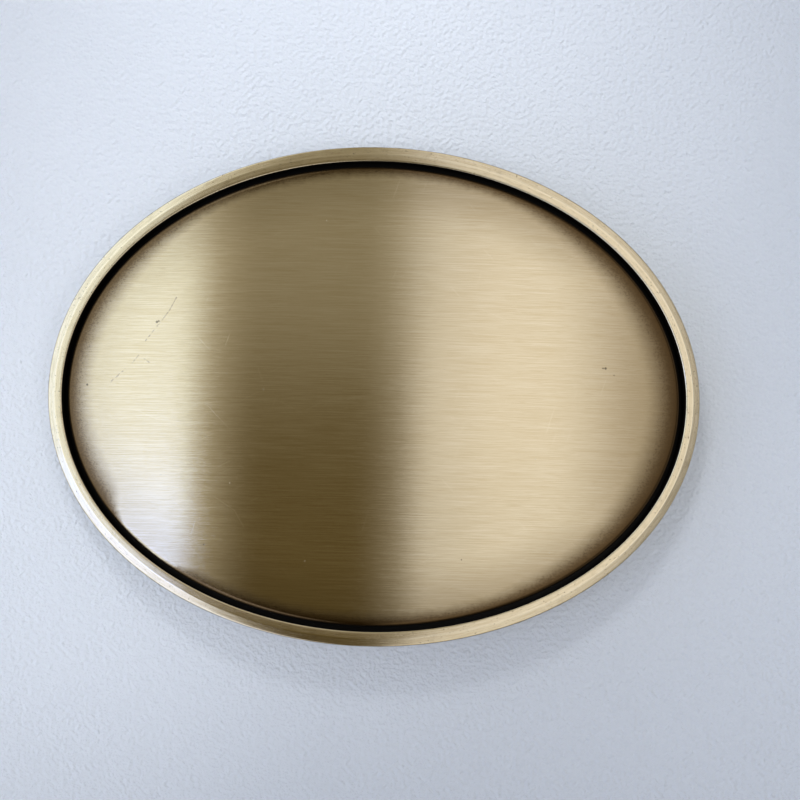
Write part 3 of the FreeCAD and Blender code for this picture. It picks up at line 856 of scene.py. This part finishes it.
def studio_sky():
    """Two soft boxes overhead with a dim gap between them, a window in the left one, and a pale room around.

    Directions are read as px = x / z and py = y / z: where they meet a ceiling at height 1. The panel mirrors
    py from about -0.04 at its front edge to 0.22 at its back edge, and the rim mirrors what is further out.
    """
    world = bpy.data.worlds.new("studio")
    world.use_nodes = True
    g = Graph(world.node_tree)
    x, y, z = g.split(g.add("ShaderNodeTexCoord"))
    up = g.calc("MAXIMUM", z, 0.02)
    px = g.calc("DIVIDE", x, up)
    py = g.calc("DIVIDE", y, up)

    # The gap, dimmer and browner towards the front
    gap = g.colour(g.fade(py, 0.05, 0.18), GAP_FRONT, GAP_BACK)
    gap = g.colour(g.fade(py, -0.08, -0.3, 0.0, 0.5), gap, GAP_NEAREST)
    # Left: a cool box that steps aside at both ends, a window near its front, and a half-lit strip beside it
    far_soft = g.fade(py, 0.02, 0.2)
    edge = g.calc("ADD", g.blend(far_soft, -0.373, -0.362), g.fade(py, 0.24, 0.38, 0.0, -0.14))
    edge = g.calc("ADD", edge, g.fade(py, -0.08, -0.2, 0.0, -0.05))
    width = g.blend(far_soft, 0.006, 0.045)
    left_box = g.fade(px, g.calc("ADD", edge, width), g.calc("SUBTRACT", edge, width))
    strip = g.fade(px, -0.24, -0.39)
    brink = g.fade(py, -0.08, -0.16, -0.374, -0.42)
    window = g.fade(px, brink, g.calc("SUBTRACT", brink, 0.007))
    window = g.calc("MULTIPLY", window, g.fade(py, -0.01, -0.06))
    window = g.calc("MULTIPLY", window, g.fade(px, -1.3, -1.0))
    # Right: a neutral box that falls off to the side, the front and the back
    edge = g.blend(far_soft, 0.068, 0.07)
    width = g.blend(far_soft, 0.015, 0.05)
    right_box = g.fade(px, g.calc("SUBTRACT", edge, width), g.calc("ADD", edge, width))
    spill = g.fade(px, -0.03, 0.06)
    side_fall = g.fade(px, g.blend(far_soft, 0.50, 0.70), g.blend(far_soft, 0.90, 1.15), 1.0, 0.38)
    rise = g.fade(px, 0.06, 0.26, 0.78, 1.0)
    front_fall = g.fade(py, 0.02, -0.04, 1.0, 0.82)
    back_fall = g.fade(py, 0.10, 0.42, 1.0, 0.8)
    across_level = g.calc("MULTIPLY", side_fall, rise)
    right_level = g.calc("MULTIPLY", across_level, g.calc("MULTIPLY", back_fall, front_fall))

    light = g.colour(g.calc("MULTIPLY", strip, 0.6), gap, LEFT_STRIP)
    light = g.colour(left_box, light, g.colour(g.fade(px, -0.75, -1.1), LEFT_BOX, LEFT_BOX_SIDE))
    light = g.colour(window, light, g.colour(g.fade(py, -0.10, -0.20), WINDOW, WINDOW_NEAREST))
    light = g.colour(g.calc("MULTIPLY", spill, 0.25), light, RIGHT_SPILL)
    lit_box = g.add("ShaderNodeVectorMath", {0: RIGHT_BOX, 3: right_level}, operation="SCALE")
    light = g.colour(right_box, light, lit_box)
    light = g.colour(g.fade(z, 0.32, 0.1), light, ROOM)
    light = g.colour(g.fade(z, 0.0, -0.1), light, g.colour(g.fade(x, -0.5, 0.4), UNDER_LEFT, UNDER_RIGHT))
    shader = g.add("ShaderNodeBackground", {"Color": light, "Strength": 1.0})
    g.add("ShaderNodeOutputWorld", {0: shader}, output=None)
    return world


bpy.context.scene.world = studio_sky()


# Place and aim in millimetres, size in millimetres, power in watts, spread in degrees. These light the table
# and leave its near side a little darker. The sky does the reflections, so the lamps are left out of them.
FILL_LIGHTS = (
    ("right_fill", (100, -60, 320), (70, -20, 0), 120, 0.066, 40),
    ("left_fill", (-120, -60, 300), (-60, -25, 0), 80, 0.047, 30),
    ("far_fill", (-40, 150, 260), (-10, 75, 0), 120, 0.106, 40),
)
FILL_COLOUR = (0.95, 0.98, 1.0)


def fill_light(name, place, aim, size, power, spread):
    lamp = bpy.data.lights.new(name, "AREA")
    lamp.shape = "DISK"
    lamp.size = size * MM
    lamp.energy = power
    lamp.color = FILL_COLOUR
    lamp.spread = math.radians(spread)
    fill = bpy.data.objects.new(name, lamp)
    fill.location = Vector(place) * MM
    fill.rotation_euler = (Vector(aim) - Vector(place)).to_track_quat("-Z", "Y").to_euler()
    fill.visible_glossy = False
    bpy.context.scene.collection.objects.link(fill)


for fill_values in FILL_LIGHTS:
    fill_light(*fill_values)

# --- camera: almost straight above, a little towards the lower edge ---

CAMERA_DISTANCE = 350.0
CAMERA_ELEVATION = math.radians(85)
CAMERA_ROLL = math.radians(1.3)
CAMERA_LENS = 115.6
CAMERA_SENSOR = 36.0
CAMERA_NEAR, CAMERA_FAR = 0.01, 20.0
AIM = Vector((3.6, -0.66, RIM_HIGH.z))

camera_data = bpy.data.cameras.new("camera")
camera_data.lens = CAMERA_LENS
camera_data.sensor_width = CAMERA_SENSOR
camera_data.clip_start = CAMERA_NEAR
camera_data.clip_end = CAMERA_FAR
camera = bpy.data.objects.new("camera", camera_data)
toward = Vector((0, -math.cos(CAMERA_ELEVATION), math.sin(CAMERA_ELEVATION)))
camera.location = (AIM + toward * CAMERA_DISTANCE) * MM
look = (-toward).to_track_quat("-Z", "Y").to_matrix() @ Matrix.Rotation(CAMERA_ROLL, 3, "Z")
camera.rotation_euler = look.to_euler()
bpy.context.scene.collection.objects.link(camera)
bpy.context.scene.camera = camera

bpy.context.scene.view_settings.view_transform = "Standard"
